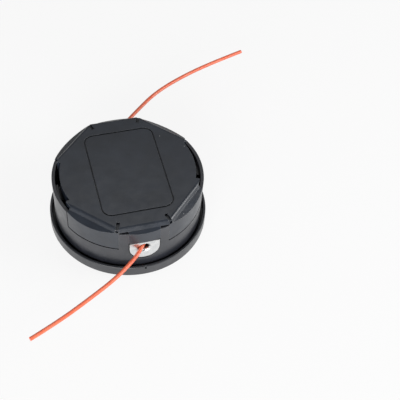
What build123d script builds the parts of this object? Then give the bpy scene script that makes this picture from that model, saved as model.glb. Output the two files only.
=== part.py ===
from build123d import *
import os
from math import degrees, radians, tan

# Bump-feed line trimmer head, millimetres, standing with its ground side up.
# The spin axis is Z, the gearbox seat is Z = 0 and the front eyelet faces -Y.

# Loading dish
DISH_RADIUS = 55.0
DISH_RIM_HEIGHT = 8.6
DISH_RIM_WALL = 1.6
DISH_FLOOR = 2.0
DISH_DROP = 4.0
DISH_EDGE = 0.8
MARK_WIDTH = 1.2
MARK_LENGTH = 2.6
MARK_DEPTH = 0.7

# Hub, moulded in one with the dish
SEAT_RADIUS = 24.0
HUB_BASE = 5.0
SPOOL_SEAT_RADIUS = 12.0
HUB_SHOULDER = 2.0
KEY_DEPTH = 1.2
HUB_LAND = 0.75
SHAFT_ROOM_RADIUS = 5.4
SHAFT_ROOM_DEPTH = 11.4

# Shaft nut, left-hand M10 x 1.25
NUT_ACROSS_FLATS = 17.0
NUT_HEIGHT = 10.0
NUT_SINK = 0.6
NUT_RECESS_MARGIN = 0.8
NUT_RECESS_DEPTH = 4.0
THREAD_RADIUS = 4.375
THREAD_CHAMFER = 0.8

# Drum, the housing and the cover together
RIM_CLEARANCE = 1.5
DRUM_DRAFT = 1.0
DRUM_RISE = 37.4
DRUM_WALL = 2.2
FOOT_EDGE = 1.0
COVER_TOP = 2.5
SPLIT_DEPTH = 21.2
SPLIT_GAP = 1.1
LIP_WALL = 1.6
LIP_GAP = 0.4
LIP_DEPTH = 3.0
LIP_RISE = 8.0
HOUSING_FLOOR = 2.5

# Eight-sided plateau of the cover, standing on a sloped shoulder
PLATEAU_RISE = 2.9
PLATEAU_LEAN = 1.6
PLATEAU_EDGE = 2.4
SHOULDER_SLOPE = 0.5
CORNER_FLAT_INSET = 4.4
FRONT_FLAT_INSET = 2.9
CORNER_FLAT_ANGLE = 45.0

# Eyelet panels of the housing and the tongues of the cover that close them
PANEL_HALF_WIDTH = 17.0
PANEL_WALL = 4.0
PANEL_GAP = 0.06

# Latch tabs of the housing
TAB_HALF_ANGLE = 26.0
TAB_WALL = 2.2
TAB_GAP = 0.8
TAB_DROP = 1.6
SLOT_HALF_ANGLE = 21.0
SLOT_WIDTH = 3.4
CATCH_WIDTH = 12.0
CATCH_HEIGHT = 2.0
CATCH_REACH = 2.0
CATCH_DEPTH = 12.0
CATCH_GAP = 0.3

# Marks in the cover's face
FRAME_SIDE_INSET = 27.4
FRAME_END_INSET = 15.6
FRAME_CORNER = 7.0
FRAME_GROOVE_WIDTH = 0.9
FRAME_GROOVE_DEPTH = 0.6
NOTCH_ANGLE = 20.6
NOTCH_WIDTH = 2.2
NOTCH_LENGTH = 7.0
NOTCH_DEPTH = 1.4
NOTCH_SIDE_DEPTH = 1.2

# Eyelets
EYELET_DEPTH = 20.9
EYELET_HALF_WIDTH = 10.3
EYELET_HEAD = 6.3
EYELET_SINK = 0.4
EYELET_FLANGE = 1.6
EYELET_FLANGE_LIP = 1.4
EYELET_GAP = 0.5
EYELET_SEAT_GAP = 0.05
EYELET_EDGE = 0.4
THROAT_RADIUS = 3.0
FLARE_OUT = 2.3
FLARE_IN = 1.8

# Spool
SPOOL_ROOM = 4.1
CORE_WALL = 2.3
SPOOL_FLANGE = 1.8
DIVIDER = 1.6
DIVIDER_INSET = 2.5
CHAMBER = 6.0
CHANNEL = 4.5
CHANNEL_SLOT = 5.0
SEAT_CLEARANCE = 0.05

# Line
LINE = 2.7
WOUND_INSET = 5.0
WOUND_CLEARANCE = 0.1

# Feed motion, spring and its washers
BUMP_TRAVEL = 4.0
BUMP_ROOM = 0.6
SPRING_WIRE = 1.4
SPRING_TURNS = 4.25
SPRING_WELL_CLEARANCE = 0.8
SPRING_WELL_FLOOR = 1.2
SEAT_WASHER = 0.6
THRUST_WASHER = 1.0
WASHER_CLEARANCE = 0.1
LOCATOR_WALL = 1.6
LOCATOR_DEPTH = 1.0
LOCATOR_CLEARANCE = 0.3

# Drum bearing
BUSH_WALL = 1.6
RUNNING_CLEARANCE = 0.06
PRESS_CLEARANCE = 0.02
COLLAR_WALL = 3.0
COLLAR_RISE = 0.5
WEAR_WASHER = 1.0
WEAR_WASHER_WIDTH = 4.4

# Retaining ring and its washer
RING_THICKNESS = 1.0
RING_WIDTH = 2.9
RING_GROOVE = 1.0
RING_GAP_HALF_ANGLE = 22.0
SPOOL_WASHER = 0.8
SPOOL_WASHER_WIDTH = 1.65

# Feed stops on the spool, the housing and the cover
STOP_COUNT = 12
STOP_INNER = 27.0
STOP_OUTER = 33.0
STOP_WIDTH = 3.6
STOP_RAMP = 1.2
STOP_HEIGHT = 3.2
STOP_TIP_ROOM = 0.6
STOP_FLANK_GAP = 0.3

# Routes of the two line tails from inside the eyelets to their cut ends, each point given by its
# distance to the side, out from the eyelet's face and up from the eyelet's hole
FRONT_ROUTE = [
    (1.6, -6.2, 0),
    (-3.9, 2.4, 0),
    (-13.0, 10.9, 0),
    (-25.0, 20.3, -0.1),
    (-44.0, 31.4, -0.2),
    (-65.4, 43.0, -0.4),
    (-84.2, 51.2, -0.6),
]
REAR_ROUTE = [
    (1.6, -6.2, 0),
    (-4.2, 3.0, 0),
    (-13.5, 12.9, 0),
    (-24.5, 23.2, -0.1),
    (-39.5, 36.5, -0.3),
    (-60.0, 48.3, -0.6),
    (-89.0, 60.5, -1.0),
    (-118.8, 69.8, -1.5),
]
ARC_SHARE = 0.45

# Heights that follow from the sizes above
RIM_BOTTOM = DISH_DROP
RIM_TOP = RIM_BOTTOM + DISH_RIM_HEIGHT
TOP = RIM_TOP + DRUM_RISE
COVER_UNDER = TOP - COVER_TOP
PLATEAU_FOOT = TOP - PLATEAU_RISE
TAB_TOP = PLATEAU_FOOT - TAB_DROP
SPLIT = TOP - SPLIT_DEPTH
EYELET_Z = TOP - EYELET_DEPTH
EYELET_TOP = EYELET_Z + EYELET_HEAD
PANEL_TOP = PLATEAU_FOOT - SPLIT_GAP
SPOOL_BOTTOM = EYELET_Z - DIVIDER / 2 - CHAMBER - SPOOL_FLANGE
SPOOL_TOP = EYELET_Z + DIVIDER / 2 + CHAMBER + SPOOL_FLANGE
HOUSING_FLOOR_TOP = SPOOL_BOTTOM - STOP_HEIGHT - STOP_TIP_ROOM
UPPER_STOP_HEIGHT = COVER_UNDER - BUMP_TRAVEL - SPOOL_TOP - STOP_TIP_ROOM
SPOOL_WASHER_TOP = SPOOL_TOP + SPOOL_WASHER
RING_BOTTOM = SPOOL_WASHER_TOP + SEAT_CLEARANCE
RING_TOP = RING_BOTTOM + RING_THICKNESS
HUB_TOP = RING_TOP + HUB_LAND
SPRING_WELL = EYELET_Z + CHANNEL / 2 + SPRING_WELL_FLOOR
SPRING_BOTTOM = SPRING_WELL + SEAT_WASHER
THRUST_TOP = COVER_UNDER - WASHER_CLEARANCE
SPRING_TOP = THRUST_TOP - THRUST_WASHER
COLLAR_TOP = SPOOL_BOTTOM - WEAR_WASHER - WASHER_CLEARANCE

# Radii and distances that follow from the sizes above
RIM_INNER = DISH_RADIUS - DISH_RIM_WALL
DRUM_RADIUS = RIM_INNER - RIM_CLEARANCE
CORNER_FLAT = DRUM_RADIUS - CORNER_FLAT_INSET
FRONT_FLAT = DRUM_RADIUS - FRONT_FLAT_INSET
TAB_INNER = DRUM_RADIUS - TAB_WALL
TAB_SIDE_ANGLE = TAB_HALF_ANGLE + degrees(TAB_GAP / DRUM_RADIUS)
SLOT_INNER = TAB_INNER - SLOT_WIDTH
FRAME_HALF_WIDTH = DRUM_RADIUS - FRAME_SIDE_INSET
FRAME_HALF_LENGTH = DRUM_RADIUS - FRAME_END_INSET
NOTCH_INNER = DRUM_RADIUS - NOTCH_LENGTH
JOURNAL_RADIUS = SPOOL_SEAT_RADIUS + HUB_SHOULDER
SPOOL_SEAT_FLAT = SPOOL_SEAT_RADIUS - KEY_DEPTH
NUT_RECESS_RADIUS = NUT_ACROSS_FLATS / 3 ** 0.5 + NUT_RECESS_MARGIN
SPRING_WELL_INNER = SPOOL_SEAT_RADIUS + SEAT_CLEARANCE + SPOOL_WASHER_WIDTH
SPRING_MEAN_RADIUS = SPRING_WELL_INNER + SPRING_WELL_CLEARANCE + SPRING_WIRE / 2
SPRING_WELL_OUTER = SPRING_MEAN_RADIUS + SPRING_WIRE / 2 + SPRING_WELL_CLEARANCE
SPOOL_CORE = SPRING_WELL_OUTER + CORE_WALL
BUSH_INNER = JOURNAL_RADIUS + RUNNING_CLEARANCE
BUSH_OUTER = BUSH_INNER + BUSH_WALL
COLLAR_OUTER = BUSH_OUTER + COLLAR_WALL
RING_INNER = SPOOL_SEAT_RADIUS - RING_GROOVE
STOP_PITCH = 360 / STOP_COUNT
STOP_OFFSET = degrees((STOP_WIDTH + STOP_FLANK_GAP) / STOP_INNER)

# Cutting bodies reach this far past the part
REACH = 2 * DISH_RADIUS

# Edges of one radius differ by less than this
SAME_RADIUS = 0.001


def floor_top(radius):
    """Height of the dish floor's upper face at a radius."""
    slope = DISH_DROP / (DISH_RADIUS - SEAT_RADIUS)
    return (radius - SEAT_RADIUS) * slope + DISH_FLOOR


def drum_radius(height):
    """Radius of the drum's drafted wall at a height."""
    return DRUM_RADIUS - (TOP - height) * tan(radians(DRUM_DRAFT))


DRUM_FOOT = floor_top(DRUM_RADIUS) + BUMP_TRAVEL + BUMP_ROOM
EYELET_FACE = drum_radius(EYELET_Z) - EYELET_SINK
PANEL_INNER = EYELET_FACE - PANEL_WALL
SPOOL_RADIUS = PANEL_INNER - SPOOL_ROOM
DIVIDER_RADIUS = SPOOL_RADIUS - DIVIDER_INSET
WOUND_RADIUS = SPOOL_RADIUS - WOUND_INSET


def turned(points):
    """Solid turned about the spin axis from an outline of (radius, height) points."""
    outline = Polyline([(radius, 0, height) for radius, height in points], close=True)
    return revolve(make_face(outline), Axis.Z)


def disc(radius, low, high):
    """Cylinder about the spin axis between two heights."""
    return Pos(0, 0, (low + high) / 2) * Cylinder(radius, high - low)


def ring(outer, inner, low, high):
    """Plain ring about the spin axis between two heights."""
    return disc(outer, low, high) - disc(inner, low, high)


def block(half_width, near, far, low, high):
    """Block across the front, from the distance near to the distance far along -Y."""
    middle = Pos(0, -(near + far) / 2, (low + high) / 2)
    return middle * Box(2 * half_width, far - near, high - low)


def both_ends(shape):
    """A shape and its copy turned half way round the spin axis."""
    return shape + Rot(0, 0, 180) * shape


def side_wedges(half_angle, low, high):
    """Two wedges about +X and -X, each half_angle wide to either side."""
    rise = REACH * tan(radians(half_angle))
    wedge = Polyline([(0, 0, low), (REACH, -rise, low), (REACH, rise, low)], close=True)
    return both_ends(extrude(make_face(wedge), high - low, dir=(0, 0, 1)))


def drum_cone(inset, low, high):
    """Drafted drum without its plateau, drawn in by inset, between two heights."""
    low_radius = drum_radius(low) - inset
    high_radius = drum_radius(high) - inset
    return turned([(0, low), (low_radius, low), (high_radius, high), (0, high)])


def flat_cutter(distance, angle, inset):
    """Body outside one flat: the sloped shoulder, then the plateau's leaning side up to the top face."""
    foot = PLATEAU_FOOT - inset
    points = [
        (distance - inset - PLATEAU_LEAN, TOP),
        (distance - inset, foot),
        (REACH, foot - SHOULDER_SLOPE * (REACH - distance)),
        (REACH, TOP),
    ]
    outline = Polyline([(reach, 0, height) for reach, height in points], close=True)
    body = extrude(make_face(outline), REACH, both=True)
    return Rot(0, 0, angle) * body


def drum_form(inset, low, high):
    """Drafted drum with the cover's shoulder and plateau, drawn in by inset, between two heights."""
    form = drum_cone(inset, low, high)
    for side in (-90, 90):
        form -= flat_cutter(FRONT_FLAT, side, inset)
        form -= flat_cutter(CORNER_FLAT, side - CORNER_FLAT_ANGLE, inset)
        form -= flat_cutter(CORNER_FLAT, side + CORNER_FLAT_ANGLE, inset)
    return form


def stops(base, height, turn):
    """Crown of feed stops: one steep flank and one ramp each, extruded outwards."""
    half = STOP_WIDTH / 2
    points = [(-half, base), (half, base), (half - STOP_RAMP, base + height), (-half, base + height)]
    outline = Polyline([(STOP_INNER, side, level) for side, level in points], close=True)
    stop = extrude(make_face(outline), STOP_OUTER - STOP_INNER, dir=(1, 0, 0))
    return [Rot(0, 0, turn + STOP_PITCH * place) * stop for place in range(STOP_COUNT)]


def arch_block(half_width, top, near, far):
    """Eyelet outline, round below and flat on top, as a block along -Y."""
    width = 2 * half_width
    head = Pos(0, (EYELET_Z + top) / 2) * Rectangle(width, top - EYELET_Z)
    bow = Pos(0, EYELET_Z) * Circle(half_width) - Pos(0, EYELET_Z + half_width) * Rectangle(width, width)
    return extrude(Plane.XZ.offset(near) * (bow + head), far - near)


def line_bore(radius, low_end, high_end):
    """Cylinder along Y at the eyelets' height."""
    middle = Pos(0, (low_end + high_end) / 2, EYELET_Z)
    return middle * Rot(90, 0, 0) * Cylinder(radius, high_end - low_end)


def make_dish():
    """Loading dish with its hub: nut recess and pocket, shaft room, line channel and ring groove."""
    body = turned([
        (0, 0),
        (SEAT_RADIUS, 0),
        (DISH_RADIUS, RIM_BOTTOM),
        (DISH_RADIUS, RIM_TOP),
        (RIM_INNER, RIM_TOP),
        (RIM_INNER, floor_top(RIM_INNER)),
        (SEAT_RADIUS, floor_top(SEAT_RADIUS)),
        (SEAT_RADIUS, HUB_BASE),
        (JOURNAL_RADIUS, HUB_BASE),
        (JOURNAL_RADIUS, SPOOL_BOTTOM),
        (SPOOL_SEAT_RADIUS, SPOOL_BOTTOM),
        (SPOOL_SEAT_RADIUS, HUB_TOP),
        (0, HUB_TOP),
    ])
    circles = body.edges().filter_by(GeomType.CIRCLE)
    rim_edges = [edge for edge in circles if edge.radius > RIM_INNER + DISH_EDGE]
    body = fillet(rim_edges, DISH_EDGE)
    for side in (-1, 1):
        middle = Pos(side * (SPOOL_SEAT_FLAT + REACH / 2), 0, (SPOOL_BOTTOM + HUB_TOP) / 2)
        body -= middle * Box(REACH, REACH, HUB_TOP - SPOOL_BOTTOM)
    pocket_top = NUT_SINK + NUT_HEIGHT
    body -= extrude(RegularPolygon(NUT_ACROSS_FLATS / 2, 6, major_radius=False), pocket_top)
    body -= disc(NUT_RECESS_RADIUS, 0, NUT_RECESS_DEPTH)
    body -= disc(SHAFT_ROOM_RADIUS, pocket_top, pocket_top + SHAFT_ROOM_DEPTH)
    body -= line_bore(CHANNEL / 2, -JOURNAL_RADIUS, JOURNAL_RADIUS)
    body -= ring(JOURNAL_RADIUS, RING_INNER, RING_BOTTOM, RING_TOP)
    mark = block(MARK_WIDTH / 2, DISH_RADIUS - MARK_DEPTH, REACH, RIM_TOP - MARK_LENGTH, REACH)
    return body - both_ends(mark)


def make_nut():
    """Hexagon nut moulded into the hub, its thread drawn as a plain bore."""
    blank = extrude(RegularPolygon(NUT_ACROSS_FLATS / 2, 6, major_radius=False), NUT_HEIGHT)
    nut = Pos(0, 0, NUT_SINK) * blank - disc(THREAD_RADIUS, NUT_SINK, NUT_SINK + NUT_HEIGHT)
    mouth = nut.edges().filter_by(GeomType.CIRCLE).sort_by(Axis.Z)[0]
    return chamfer(mouth, THREAD_CHAMFER)


def make_spool():
    """Spool with two line chambers, keyed to the hub, with feed stops below and above."""
    lower_top = SPOOL_BOTTOM + SPOOL_FLANGE
    upper_bottom = SPOOL_TOP - SPOOL_FLANGE
    body = disc(SPOOL_CORE, SPOOL_BOTTOM, SPOOL_TOP)
    body += disc(SPOOL_RADIUS, SPOOL_BOTTOM, lower_top)
    body += disc(DIVIDER_RADIUS, EYELET_Z - DIVIDER / 2, EYELET_Z + DIVIDER / 2)
    body += disc(SPOOL_RADIUS, upper_bottom, SPOOL_TOP)
    body += stops(SPOOL_BOTTOM, -STOP_HEIGHT, 0)
    body += stops(SPOOL_TOP, UPPER_STOP_HEIGHT, 0)
    bore = disc(SPOOL_SEAT_RADIUS + SEAT_CLEARANCE, SPOOL_BOTTOM, SPOOL_TOP)
    flats = 2 * (SPOOL_SEAT_FLAT + SEAT_CLEARANCE)
    body -= bore & Pos(0, 0, EYELET_Z) * Box(flats, REACH, REACH)
    body -= ring(SPRING_WELL_OUTER, SPRING_WELL_INNER, SPRING_WELL, SPOOL_TOP)
    body -= line_bore(CHANNEL / 2, -SPOOL_CORE, SPOOL_CORE)
    slot_end = SPOOL_CORE + CHANNEL_SLOT
    slot = block(CHANNEL / 2, SPOOL_CORE - DIVIDER, slot_end,
                 EYELET_Z - DIVIDER / 2, EYELET_Z + DIVIDER / 2)
    return body - both_ends(slot)


def make_wound_line():
    """Line wound in both chambers, with the strand that crosses the spool between them."""
    chamber_middle = (DIVIDER + CHAMBER) / 2
    inner = SPOOL_CORE + WOUND_CLEARANCE
    pack_outer = WOUND_RADIUS - LINE / 2
    strand_end = SPOOL_CORE + CHANNEL_SLOT / 2
    wound = line_bore(LINE / 2, -strand_end, strand_end)
    for middle in (EYELET_Z - chamber_middle, EYELET_Z + chamber_middle):
        wound += ring(pack_outer, inner, middle - LINE, middle + LINE)
        for turn in (middle - LINE / 2, middle + LINE / 2):
            wound += Pos(0, 0, turn) * Torus(pack_outer, LINE / 2)
    return wound


def make_spring():
    """Feed spring, a round-wire helix between its seat washer and the thrust washer."""
    height = SPRING_TOP - SPRING_BOTTOM - SPRING_WIRE
    path = Helix(height / SPRING_TURNS, height, SPRING_MEAN_RADIUS)
    section = Plane(origin=path @ 0, z_dir=path % 0) * Circle(SPRING_WIRE / 2)
    return Pos(0, 0, SPRING_BOTTOM + SPRING_WIRE / 2) * sweep(section, path=path)


def make_retaining_ring():
    """Open snap ring in the hub's groove."""
    bottom, top = RING_BOTTOM + SEAT_CLEARANCE, RING_TOP - SEAT_CLEARANCE
    whole = ring(RING_INNER + RING_WIDTH, RING_INNER + SEAT_CLEARANCE, bottom, top)
    rise = REACH * tan(radians(RING_GAP_HALF_ANGLE))
    gap = Polyline([(0, 0, bottom), (REACH, -rise, bottom), (REACH, rise, bottom)], close=True)
    return whole - extrude(make_face(gap), top - bottom, dir=(0, 0, 1))


def make_housing():
    """Lower drum: wall, floor with feed stops, bearing collar, eyelet panels and latch tabs."""
    body = drum_cone(0, DRUM_FOOT, SPLIT)
    foot = body.edges().filter_by(GeomType.CIRCLE).sort_by(Axis.Z)[0]
    body = fillet(foot, FOOT_EDGE) - drum_cone(DRUM_WALL, DRUM_FOOT, SPLIT)
    panel = drum_cone(0, DRUM_FOOT, PANEL_TOP) & both_ends(
        block(PANEL_HALF_WIDTH, PANEL_INNER, REACH, HOUSING_FLOOR_TOP, PANEL_TOP))
    panel += drum_cone(0, SPLIT, PANEL_TOP) - drum_cone(DRUM_WALL, SPLIT, PANEL_TOP) & both_ends(
        block(PANEL_HALF_WIDTH, 0, REACH, SPLIT, PANEL_TOP))
    tab_bottom = SPLIT - DRUM_WALL
    tab = drum_cone(0, tab_bottom, TAB_TOP) - drum_cone(TAB_WALL, tab_bottom, TAB_TOP)
    tab &= side_wedges(TAB_HALF_ANGLE, tab_bottom, TAB_TOP)
    catch_bottom = TOP - CATCH_DEPTH
    catch = ring(TAB_INNER, TAB_INNER - CATCH_REACH, catch_bottom, catch_bottom + CATCH_HEIGHT)
    catch &= Pos(0, 0, TOP) * Box(REACH, CATCH_WIDTH, REACH)
    body += panel + tab + catch
    body += ring(drum_radius(HOUSING_FLOOR_TOP) - DRUM_WALL / 2, BUSH_OUTER + PRESS_CLEARANCE,
                 HOUSING_FLOOR_TOP - HOUSING_FLOOR, HOUSING_FLOOR_TOP)
    body += ring(COLLAR_OUTER, BUSH_OUTER + PRESS_CLEARANCE, DRUM_FOOT + COLLAR_RISE, COLLAR_TOP)
    body += stops(HOUSING_FLOOR_TOP, STOP_HEIGHT, STOP_OFFSET)
    notch = arch_block(EYELET_HALF_WIDTH + EYELET_GAP, REACH, PANEL_INNER - DRUM_WALL, REACH)
    return body - both_ends(notch)


def make_cover():
    """Cover: plateau, four skirts, two tongues over the eyelets, catches and feed stops."""
    low = SPLIT + SPLIT_GAP
    shell = drum_form(0, low, TOP)
    top_edges = shell.edges().filter_by(lambda edge: edge.bounding_box().min.Z > TOP - PLATEAU_EDGE / 2)
    shell = fillet(top_edges, PLATEAU_EDGE)
    tab_room = side_wedges(TAB_SIDE_ANGLE, low, TOP)
    shell -= tab_room - drum_cone(TAB_WALL + TAB_GAP, low, TOP)
    shell -= side_wedges(SLOT_HALF_ANGLE, low, TOP) - disc(SLOT_INNER, low, TOP)
    shell -= both_ends(block(PANEL_HALF_WIDTH + PANEL_GAP, SPOOL_RADIUS, REACH, low, PLATEAU_FOOT))
    cavity = drum_form(DRUM_WALL, low, COVER_UNDER)
    cavity -= tab_room - disc(SLOT_INNER - DRUM_WALL, low, TOP)
    shell -= cavity
    tongue_half_width = EYELET_HALF_WIDTH + EYELET_GAP - PANEL_GAP
    tongue = drum_form(0, EYELET_TOP + EYELET_GAP, PLATEAU_FOOT)
    tongue &= both_ends(block(tongue_half_width, PANEL_INNER, REACH, SPLIT, TOP))
    lip_low = SPLIT - LIP_DEPTH
    lip_high = SPLIT + LIP_RISE
    lip_outer = drum_radius(lip_low) - DRUM_WALL - LIP_GAP
    lip = ring(lip_outer, lip_outer - LIP_WALL, lip_low, lip_high)
    lip += ring(drum_radius(low) - DRUM_WALL / 2, lip_outer - LIP_WALL, low, lip_high)
    lip -= side_wedges(TAB_SIDE_ANGLE, lip_low, lip_high)
    lip -= both_ends(block(PANEL_HALF_WIDTH + TAB_GAP, 0, REACH, lip_low, lip_high))
    catch_top = TOP - CATCH_DEPTH - CATCH_GAP
    catch = ring(SLOT_INNER + CATCH_REACH, SLOT_INNER - DRUM_WALL / 2, catch_top - CATCH_HEIGHT, catch_top)
    catch &= Pos(0, 0, TOP) * Box(REACH, CATCH_WIDTH, REACH)
    locator_inner = SPRING_WELL_OUTER + LOCATOR_CLEARANCE
    locator = ring(locator_inner + LOCATOR_WALL, locator_inner, COVER_UNDER - LOCATOR_DEPTH, COVER_UNDER)
    body = shell + tongue + lip + catch + locator
    body += stops(COVER_UNDER, -UPPER_STOP_HEIGHT, -STOP_OFFSET)
    return body - face_marks()


def face_marks():
    """Cuts in the cover's face: the framing groove and the notches at the plateau's corners."""
    frame = RectangleRounded(2 * FRAME_HALF_WIDTH, 2 * FRAME_HALF_LENGTH, FRAME_CORNER)
    frame -= offset(frame, -FRAME_GROOVE_WIDTH)
    marks = extrude(Pos(0, 0, TOP - FRAME_GROOVE_DEPTH) * frame, REACH)
    side_cut = DRUM_RADIUS - NOTCH_SIDE_DEPTH
    notch = block(NOTCH_WIDTH / 2, NOTCH_INNER, REACH, TOP - NOTCH_DEPTH, REACH)
    notch += block(NOTCH_WIDTH / 2, side_cut, REACH, PLATEAU_FOOT, REACH)
    for turn in (-NOTCH_ANGLE, NOTCH_ANGLE):
        marks += both_ends(Rot(0, 0, turn) * notch)
    return marks


def throat_edges(body):
    """Round edges of an eyelet's throat, the outermost first."""
    circles = body.edges().filter_by(GeomType.CIRCLE)
    throat = circles.filter_by(lambda edge: abs(edge.radius - THROAT_RADIUS) < SAME_RADIUS)
    return throat.sort_by(Axis.Y)


def make_eyelet():
    """Front eyelet: arched plate with a lip behind the panel and a flared hole."""
    flange_outer = PANEL_INNER - EYELET_SEAT_GAP
    flange_inner = flange_outer - EYELET_FLANGE
    body = arch_block(EYELET_HALF_WIDTH, EYELET_TOP, flange_inner, EYELET_FACE)
    body += arch_block(EYELET_HALF_WIDTH + EYELET_FLANGE_LIP, EYELET_TOP, flange_inner, flange_outer)
    face_edges = body.edges().group_by(Axis.Y)[0]
    body = fillet(face_edges, EYELET_EDGE)
    body -= line_bore(THROAT_RADIUS, -REACH, 0)
    body = fillet(throat_edges(body)[0], FLARE_OUT)
    return fillet(throat_edges(body)[-1], FLARE_IN)


def make_tail(name, route, turn):
    """Line tail: straight runs joined by tangent arcs, with a report of its radii and volume."""
    points = [
        Vector(side, -EYELET_FACE - out, EYELET_Z + rise).rotate(Axis.Z, turn)
        for side, out, rise in route
    ]
    runs = [after - before for before, after in zip(points, points[1:])]
    turns = [radians(before.get_angle(after)) for before, after in zip(runs, runs[1:])]
    radii = [
        ARC_SHARE * min(before.length, after.length) / tan(turn / 2)
        for before, after, turn in zip(runs, runs[1:], turns)
    ]
    path = FilletPolyline(*points, radius=radii)
    section = Plane(origin=path @ 0, z_dir=path % 0) * Circle(LINE / 2)
    tail = sweep(section, path=path)
    swept = section.area * path.length
    print(name, "radii", [round(radius, 1) for radius in radii], "length", round(path.length, 2))
    print(name, "volume", round(tail.volume, 2), "section times length", round(swept, 2))
    return tail


def make_parts():
    """All pieces by node name."""
    eyelet = make_eyelet()
    return {
        "dish": make_dish(),
        "shaft_nut": make_nut(),
        "spool": make_spool(),
        "wound_line": make_wound_line(),
        "wear_washer": ring(JOURNAL_RADIUS + WASHER_CLEARANCE + WEAR_WASHER_WIDTH,
                            JOURNAL_RADIUS + WASHER_CLEARANCE, SPOOL_BOTTOM - WEAR_WASHER, SPOOL_BOTTOM),
        "spool_washer": ring(SPRING_WELL_INNER, SPOOL_SEAT_RADIUS + SEAT_CLEARANCE,
                             SPOOL_TOP, SPOOL_WASHER_TOP),
        "retaining_ring": make_retaining_ring(),
        "spring_seat_washer": ring(SPRING_WELL_OUTER - WASHER_CLEARANCE,
                                   SPRING_WELL_INNER + WASHER_CLEARANCE, SPRING_WELL, SPRING_BOTTOM),
        "feed_spring": make_spring(),
        "thrust_washer": ring(SPRING_WELL_OUTER, SPRING_WELL_INNER, SPRING_TOP, THRUST_TOP),
        "housing": make_housing(),
        "drum_bush": ring(BUSH_OUTER, BUSH_INNER, DRUM_FOOT + COLLAR_RISE, COLLAR_TOP),
        "cover": make_cover(),
        "eyelet_front": eyelet,
        "eyelet_rear": Rot(0, 0, 180) * eyelet,
        "line_tail_front": make_tail("line_tail_front", FRONT_ROUTE, 0),
        "line_tail_rear": make_tail("line_tail_rear", REAR_ROUTE, 180),
    }


os.makedirs("parts", exist_ok=True)
for node, shape in make_parts().items():
    export_step(shape, f"parts/{node}.step")
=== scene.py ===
import bpy
import numpy as np
from mathutils import Matrix, Vector


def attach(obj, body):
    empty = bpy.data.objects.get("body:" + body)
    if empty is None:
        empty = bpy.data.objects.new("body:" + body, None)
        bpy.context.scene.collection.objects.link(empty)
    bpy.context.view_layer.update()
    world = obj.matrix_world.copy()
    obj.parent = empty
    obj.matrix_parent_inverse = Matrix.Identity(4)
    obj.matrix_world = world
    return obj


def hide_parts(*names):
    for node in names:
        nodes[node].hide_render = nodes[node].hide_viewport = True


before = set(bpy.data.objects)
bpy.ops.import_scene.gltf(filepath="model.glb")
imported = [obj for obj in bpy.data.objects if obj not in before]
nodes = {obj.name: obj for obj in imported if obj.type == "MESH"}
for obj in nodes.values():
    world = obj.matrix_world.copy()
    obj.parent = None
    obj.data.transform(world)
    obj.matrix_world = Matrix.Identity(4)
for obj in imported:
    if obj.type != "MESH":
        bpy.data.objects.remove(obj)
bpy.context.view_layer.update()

MM = 0.001

# Line tails: route points in metres, from inside the eyelets to the cut ends, each given by its distance
# to the side, out from the eyelet's face and up from the eyelet's hole
LINE_DIAMETER = 2.7 * MM
EYELET_FACE = 51.135 * MM
EYELET_HEIGHT = 29.1 * MM
FRONT_ROUTE = np.array([
    (1.6, -6.2, 0.0),
    (-3.9, 2.4, 0.0),
    (-13.0, 10.9, 0.0),
    (-25.0, 20.3, -0.1),
    (-44.0, 31.4, -0.2),
    (-65.4, 43.0, -0.4),
    (-84.2, 51.2, -0.6),
]) * MM
REAR_ROUTE = np.array([
    (1.6, -6.2, 0.0),
    (-4.2, 3.0, 0.0),
    (-13.5, 12.9, 0.0),
    (-24.5, 23.2, -0.1),
    (-39.5, 36.5, -0.3),
    (-60.0, 48.3, -0.6),
    (-89.0, 60.5, -1.0),
    (-118.8, 69.8, -1.5),
]) * MM

# Shaft nut with its left-hand M10 x 1.25 thread
NUT_BOTTOM = 0.6 * MM
NUT_TOP = 10.6 * MM
NUT_HALF_FLATS = 8.5 * MM
THREAD_PITCH = 1.25 * MM
THREAD_MINOR = 4.375 * MM
THREAD_MAJOR = 5.0 * MM
THREAD_MOUTH = 5.175 * MM


# Camera

def aim_camera(azimuth, elevation, roll, distance, target, lens):
    """Camera at a distance from its target, turned round the spin axis by azimuth, raised by elevation
    and rolled about its own line of sight, all in degrees and metres."""
    a, e, r = np.radians([azimuth, elevation, roll])
    back = np.array([np.sin(a) * np.cos(e), -np.cos(a) * np.cos(e), np.sin(e)])
    level = np.array([np.cos(a), np.sin(a), 0.0])
    rise = np.cross(back, level)
    right = np.cos(r) * level + np.sin(r) * rise
    up = np.cos(r) * rise - np.sin(r) * level
    data = bpy.data.cameras.new("camera")
    data.lens = lens
    data.sensor_width = 36.0
    data.clip_start = 0.01
    data.clip_end = 20.0
    camera = bpy.data.objects.new("camera", data)
    bpy.context.scene.collection.objects.link(camera)
    place = np.eye(4)
    place[:3, :3] = np.column_stack([right, up, back])
    place[:3, 3] = np.array(target) + distance * back
    camera.matrix_world = Matrix(place.tolist())
    bpy.context.scene.camera = camera


# Shader building

def new_finish(name):
    """Node material with a Principled shader, as (material, tree, shader)."""
    material = bpy.data.materials.new(name)
    material.use_nodes = True
    tree = material.node_tree
    return material, tree, tree.nodes["Principled BSDF"]


def add(tree, kind, **inputs):
    """New shader node with its unlinked inputs set by name."""
    made = tree.nodes.new(kind)
    for key, value in inputs.items():
        made.inputs[key.replace("_", " ")].default_value = value
    return made


def object_place(tree, stretch=(1.0, 1.0, 1.0)):
    """Object coordinates in metres, stretched along the axes."""
    made = add(tree, "ShaderNodeMapping", Scale=stretch)
    tree.links.new(tree.nodes.new("ShaderNodeTexCoord").outputs["Object"], made.inputs["Vector"])
    return made.outputs["Vector"]


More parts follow.
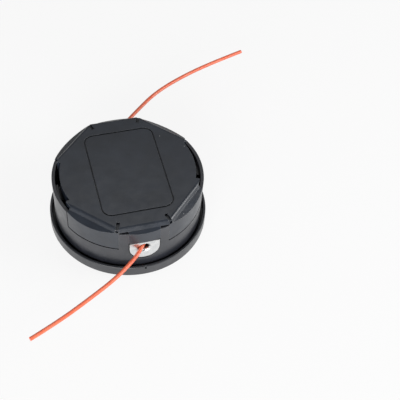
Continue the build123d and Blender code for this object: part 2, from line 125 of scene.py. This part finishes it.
def noise(tree, place, scale, detail=3.0):
    """Noise from 0 to 1 with a scale in cells per metre."""
    made = add(tree, "ShaderNodeTexNoise", Scale=scale, Detail=detail)
    tree.links.new(place, made.inputs["Vector"])
    return made.outputs["Fac"]


def carry(tree, value, low, high, start=0.0, end=1.0):
    """Value carried from low..high to start..end and held at both ends."""
    made = add(tree, "ShaderNodeMapRange", From_Min=low, From_Max=high, To_Min=start, To_Max=end)
    tree.links.new(value, made.inputs["Value"])
    return made.outputs["Result"]


def combine(tree, operation, first, second):
    """Two values combined by a Math node; the second may be a number."""
    made = tree.nodes.new("ShaderNodeMath")
    made.operation = operation
    tree.links.new(first, made.inputs[0])
    if isinstance(second, float):
        made.inputs[1].default_value = second
    else:
        tree.links.new(second, made.inputs[1])
    return made.outputs[0]


def tint(tree, share, first, second):
    """Colour from first to second by share; either is a colour or a colour socket."""
    made = tree.nodes.new("ShaderNodeMix")
    made.data_type = "RGBA"
    tree.links.new(share, made.inputs[0])
    for socket, colour in ((made.inputs[6], first), (made.inputs[7], second)):
        if isinstance(colour, tuple):
            socket.default_value = (*colour, 1.0)
        else:
            tree.links.new(colour, socket)
    return made.outputs[2]


def bump(tree, height, strength, depth, under=None):
    """Normal bumped by a height, over another normal where one is given."""
    made = add(tree, "ShaderNodeBump", Strength=strength, Distance=depth)
    tree.links.new(height, made.inputs["Height"])
    if under is not None:
        tree.links.new(under, made.inputs["Normal"])
    return made.outputs["Normal"]


def rounded_edges(tree, radius):
    """Normal that rounds a solid's edges by a radius, and its share: 0 on a face, 1 at an edge."""
    made = add(tree, "ShaderNodeBevel", Radius=radius)
    made.samples = 6
    flat = tree.nodes.new("ShaderNodeNewGeometry").outputs["Normal"]
    across = tree.nodes.new("ShaderNodeVectorMath")
    across.operation = "DOT_PRODUCT"
    tree.links.new(made.outputs["Normal"], across.inputs[0])
    tree.links.new(flat, across.inputs[1])
    return made.outputs["Normal"], carry(tree, across.outputs["Value"], 0.995, 0.86)


def specks(tree, place, scale, size, share):
    """Small round specks: Voronoi cells whose random number passes share, lit near their points."""
    cells = add(tree, "ShaderNodeTexVoronoi", Scale=scale)
    tree.links.new(place, cells.inputs["Vector"])
    split = tree.nodes.new("ShaderNodeSeparateColor")
    tree.links.new(cells.outputs["Color"], split.inputs["Color"])
    near = carry(tree, cells.outputs["Distance"], size, 0.6 * size)
    chosen = combine(tree, "GREATER_THAN", split.outputs["Red"], share)
    return combine(tree, "MULTIPLY", near, chosen)


def painted_shade_openness(tree, reach):
    """Share of open sky near a point, for painting shade into a colour: 0 deep in a gap narrower than the
    reach, 1 on an open face.
    """
    made = add(tree, "ShaderNodeAmbientOcclusion", Distance=reach)
    made.samples = 8
    return carry(tree, made.outputs["AO"], 0.3, 0.8)


# Finishes

def moulded_nylon(name, dark, pale, dusty):
    """Black satin nylon: clouded tone, fine grain, edges paled partly by wear and partly by a painted
    highlight, painted shade in the gaps and a few specks of dust.
    """
    material, tree, shader = new_finish(name)
    place = object_place(tree)
    normal, edge = rounded_edges(tree, 0.45 * MM)
    cloud = carry(tree, noise(tree, place, 70.0, 4.0), 0.35, 0.7)
    tone = tint(tree, cloud, dark, pale)
    # Edges paled partly by wear and partly by a painted highlight.
    wear_and_painted_highlight = combine(tree, "MULTIPLY", edge, carry(tree, noise(tree, place, 260.0), 0.3, 0.7, 0.25, 0.75))
    tone = tint(tree, wear_and_painted_highlight, tone, (0.17, 0.175, 0.185))
    if dusty:
        tone = tint(tree, specks(tree, place, 210.0, 0.075, 0.93), tone, (0.6, 0.6, 0.6))
    # Painted shade: the base colour goes near black and the reflection weakens deep in gaps and crevices.
    clear_of_painted_shade = painted_shade_openness(tree, 2.0 * MM)
    tree.links.new(tint(tree, clear_of_painted_shade, (0.001, 0.001, 0.0015), tone), shader.inputs["Base Color"])
    tree.links.new(carry(tree, clear_of_painted_shade, 0.0, 1.0, 0.02, 0.5), shader.inputs["Specular IOR Level"])
    sheen = carry(tree, noise(tree, place, 190.0, 5.0), 0.3, 0.7, 0.28, 0.4)
    tree.links.new(sheen, shader.inputs["Roughness"])
    grain = noise(tree, place, 2600.0, 2.0)
    tree.links.new(bump(tree, grain, 0.22, 0.06 * MM, normal), shader.inputs["Normal"])
    shader.inputs["IOR"].default_value = 1.68
    return material


def metal(name, dark, pale, rough, scratch):
    """Bare metal: two tones in a cloud, painted shade darkening it in hollows and gaps, with roughness and
    bump from fine scratches along X.
    """
    material, tree, shader = new_finish(name)
    normal, edge = rounded_edges(tree, 0.2 * MM)
    cloud = noise(tree, object_place(tree), 320.0, 4.0)
    tone = tint(tree, carry(tree, cloud, 0.3, 0.7), dark, pale)
    # Painted shade: the base colour darkens deep in hollows and gaps.
    clear_of_painted_shade = painted_shade_openness(tree, 3.0 * MM)
    tree.links.new(tint(tree, clear_of_painted_shade, (0.08, 0.07, 0.07), tone), shader.inputs["Base Color"])
    fine = noise(tree, object_place(tree, (0.15, 1.0, 1.0)), 3200.0, 3.0)
    tree.links.new(carry(tree, fine, 0.3, 0.7, rough, rough + 0.16), shader.inputs["Roughness"])
    tree.links.new(bump(tree, fine, scratch, 0.05 * MM, normal), shader.inputs["Normal"])
    shader.inputs["Metallic"].default_value = 1.0
    return material


def nylon_line(name, clear):
    """Extruded orange-red line: soft tone changes, faint draw marks and some light passing through."""
    material, tree, shader = new_finish(name)
    place = object_place(tree)
    cloud = carry(tree, noise(tree, place, 130.0, 3.0), 0.3, 0.7)
    tone = tint(tree, cloud, (0.98, 0.17, 0.075), (1.0, 0.24, 0.13))
    tree.links.new(tone, shader.inputs["Base Color"])
    sheen = carry(tree, noise(tree, place, 900.0), 0.3, 0.7, 0.26, 0.4)
    tree.links.new(sheen, shader.inputs["Roughness"])
    tree.links.new(bump(tree, noise(tree, place, 1500.0), 0.05, 0.05 * MM), shader.inputs["Normal"])
    shader.inputs["Transmission Weight"].default_value = clear
    shader.inputs["IOR"].default_value = 1.53
    return material


def dress(finish, *names):
    """Gives a finish to CAD nodes."""
    for name in names:
        nodes[name].data.materials.clear()
        nodes[name].data.materials.append(finish)


# Pieces

def line_tail(name, node, route, end, finish):
    """Line tail: a round section carried along a quadratic NURBS line with the route as its control points.
    The end is 1 at the front eyelet and -1 at the rear one, where the route is turned half way round."""
    side, out, rise = route.T
    forward = -end * (EYELET_FACE + out)
    points = np.column_stack([end * side, forward, EYELET_HEIGHT + rise, np.ones(len(route))])
    curve = bpy.data.curves.new(name, "CURVE")
    curve.dimensions = "3D"
    line = curve.splines.new("NURBS")
    line.points.add(len(points) - 1)
    line.points.foreach_set("co", points.ravel())
    line.order_u = 3
    line.use_endpoint_u = True
    curve.resolution_u = 16
    curve.bevel_depth = LINE_DIAMETER / 2
    curve.bevel_resolution = 6
    curve.use_fill_caps = True
    curve.materials.append(finish)
    tail = bpy.data.objects.new(name, curve)
    bpy.context.scene.collection.objects.link(tail)
    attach(tail, "drum")
    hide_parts(node)


def threaded_nut(finish):
    """Hexagon nut with a left-hand thread: rings of points carried up the outside and down the bore.
    Outside, the radius is the half width over flats divided by the cosine of the angle from the nearest
    flat's middle. In the bore it is a triangle wave between the minor and major radius, whose phase is the
    height in pitches plus the angle in turns, widened to a cone at the mouth."""
    angle = np.linspace(0.0, 2 * np.pi, 145)[:-1]
    from_flat = (angle + np.pi / 3) % (np.pi / 3) - np.pi / 6
    hexagon = NUT_HALF_FLATS / np.cos(from_flat)
    height = np.linspace(NUT_TOP, NUT_BOTTOM, 145)
    phase = (height[:, None] / THREAD_PITCH + angle / (2 * np.pi)) % 1.0
    bore = THREAD_MINOR + (THREAD_MAJOR - THREAD_MINOR) * (1 - np.abs(2 * phase - 1))
    mouth = THREAD_MOUTH - (height - NUT_BOTTOM)
    bore = np.maximum(bore, mouth[:, None])
    radius = np.vstack([hexagon, hexagon, bore])
    level = np.concatenate([[NUT_BOTTOM, NUT_TOP], height])
    heights = np.tile(level[:, None], len(angle))
    points = np.stack([radius * np.cos(angle), radius * np.sin(angle), heights], axis=2)
    rows, columns = radius.shape
    row, column = np.meshgrid(np.arange(rows), np.arange(columns), indexing="ij")
    after, beside = (row + 1) % rows, (column + 1) % columns
    faces = np.stack([row * columns + column, row * columns + beside,
                      after * columns + beside, after * columns + column], axis=2)
    mesh = bpy.data.meshes.new("threaded_nut")
    mesh.from_pydata(points.reshape(-1, 3).tolist(), [], faces.reshape(-1, 4).tolist())
    mesh.materials.append(finish)
    nut = bpy.data.objects.new("threaded_nut", mesh)
    bpy.context.scene.collection.objects.link(nut)
    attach(nut, "hub")
    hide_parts("shaft_nut")


# Stage

def white_when_seen(tree):
    """1 for camera, glossy and transmission rays, 0 for others."""
    path = tree.nodes.new("ShaderNodeLightPath")
    seen = combine(tree, "MAXIMUM", path.outputs["Is Camera Ray"], path.outputs["Is Glossy Ray"])
    return combine(tree, "MAXIMUM", seen, path.outputs["Is Transmission Ray"])


def lay_floor(half, level, seen_share):
    """Square pale floor: matt white that keeps shadows, with a share of plain white where it is seen."""
    corners = np.array([(-1, -1, 0), (1, -1, 0), (1, 1, 0), (-1, 1, 0)]) * half + (0, 0, level)
    mesh = bpy.data.meshes.new("floor")
    mesh.from_pydata(corners.tolist(), [], [(0, 1, 2, 3)])
    floor = bpy.data.objects.new("floor", mesh)
    bpy.context.scene.collection.objects.link(floor)
    material, tree, shader = new_finish("floor_white")
    shader.inputs["Base Color"].default_value = (0.92, 0.92, 0.92, 1.0)
    shader.inputs["Roughness"].default_value = 0.9
    glow = add(tree, "ShaderNodeEmission", Color=(1.0, 1.0, 1.0, 1.0), Strength=1.0)
    both = tree.nodes.new("ShaderNodeMixShader")
    tree.links.new(combine(tree, "MULTIPLY", white_when_seen(tree), seen_share), both.inputs[0])
    tree.links.new(shader.outputs[0], both.inputs[1])
    tree.links.new(glow.outputs[0], both.inputs[2])
    tree.links.new(both.outputs[0], tree.nodes["Material Output"].inputs["Surface"])
    mesh.materials.append(material)


def light_world(level):
    """Even white surroundings at one level, dimmer than the floor."""
    world = bpy.data.worlds.new("studio")
    bpy.context.scene.world = world
    world.use_nodes = True
    tree = world.node_tree
    ground = tree.nodes["Background"]
    ground.inputs["Color"].default_value = (1.0, 1.0, 1.0, 1.0)
    ground.inputs["Strength"].default_value = level


def lamp(name, place, aim, size, power):
    """Square soft lamp at a place, turned to its aim."""
    data = bpy.data.lights.new(name, "AREA")
    data.size = size
    data.energy = power
    made = bpy.data.objects.new(name, data)
    bpy.context.scene.collection.objects.link(made)
    made.location = place
    made.rotation_euler = (Vector(place) - Vector(aim)).to_track_quat("Z", "Y").to_euler()


bpy.context.scene.view_settings.view_transform = "Standard"
aim_camera(-19.364, 51.153, 5.307, 0.6589, (0.04761, -0.01673, 0.025), 84.797)
lay_floor(4.0, -0.0002, 0.86)
light_world(0.2)
lamp("front_lamp", (-0.45, -1.0, 0.4), (0.0, 0.0, 0.02), 0.8, 12.0)
lamp("side_lamp", (1.0, -0.4, 0.5), (0.0, 0.0, 0.02), 0.7, 8.0)
lamp("top_lamp", (0.1, 0.5, 1.1), (0.0, 0.0, 0.02), 0.6, 1.0)

# The cover's nylon is darker than the drum's: painted shade for its dimly lit top face.
cover_nylon_shaded_darker = moulded_nylon("cover_nylon_shaded_darker", (0.009, 0.013, 0.021), (0.016, 0.022, 0.034), True)
drum_nylon = moulded_nylon("drum_nylon", (0.016, 0.018, 0.024), (0.026, 0.028, 0.036), False)
dish_nylon = moulded_nylon("dish_nylon", (0.016, 0.018, 0.023), (0.028, 0.03, 0.036), True)
eyelet_metal = metal("eyelet_metal", (0.7, 0.71, 0.72), (0.84, 0.84, 0.84), 0.22, 0.16)
zinc_plate = metal("zinc_plate", (0.52, 0.53, 0.52), (0.68, 0.68, 0.64), 0.28, 0.2)
spring_wire = metal("spring_wire", (0.26, 0.26, 0.28), (0.42, 0.42, 0.44), 0.3, 0.25)
bush_bronze = metal("bush_bronze", (0.46, 0.29, 0.12), (0.6, 0.41, 0.2), 0.34, 0.3)
tail_line = nylon_line("tail_line", 0.12)
spool_line = nylon_line("spool_line", 0.0)

dress(cover_nylon_shaded_darker, "cover")
dress(drum_nylon, "housing", "spool")
dress(dish_nylon, "dish")
dress(eyelet_metal, "eyelet_front", "eyelet_rear")
dress(zinc_plate, "shaft_nut", "wear_washer", "spool_washer", "spring_seat_washer", "thrust_washer")
dress(spring_wire, "retaining_ring", "feed_spring")
dress(bush_bronze, "drum_bush")
dress(spool_line, "wound_line")

line_tail("front_tail", "line_tail_front", FRONT_ROUTE, 1, tail_line)
line_tail("rear_tail", "line_tail_rear", REAR_ROUTE, -1, tail_line)
threaded_nut(zinc_plate)
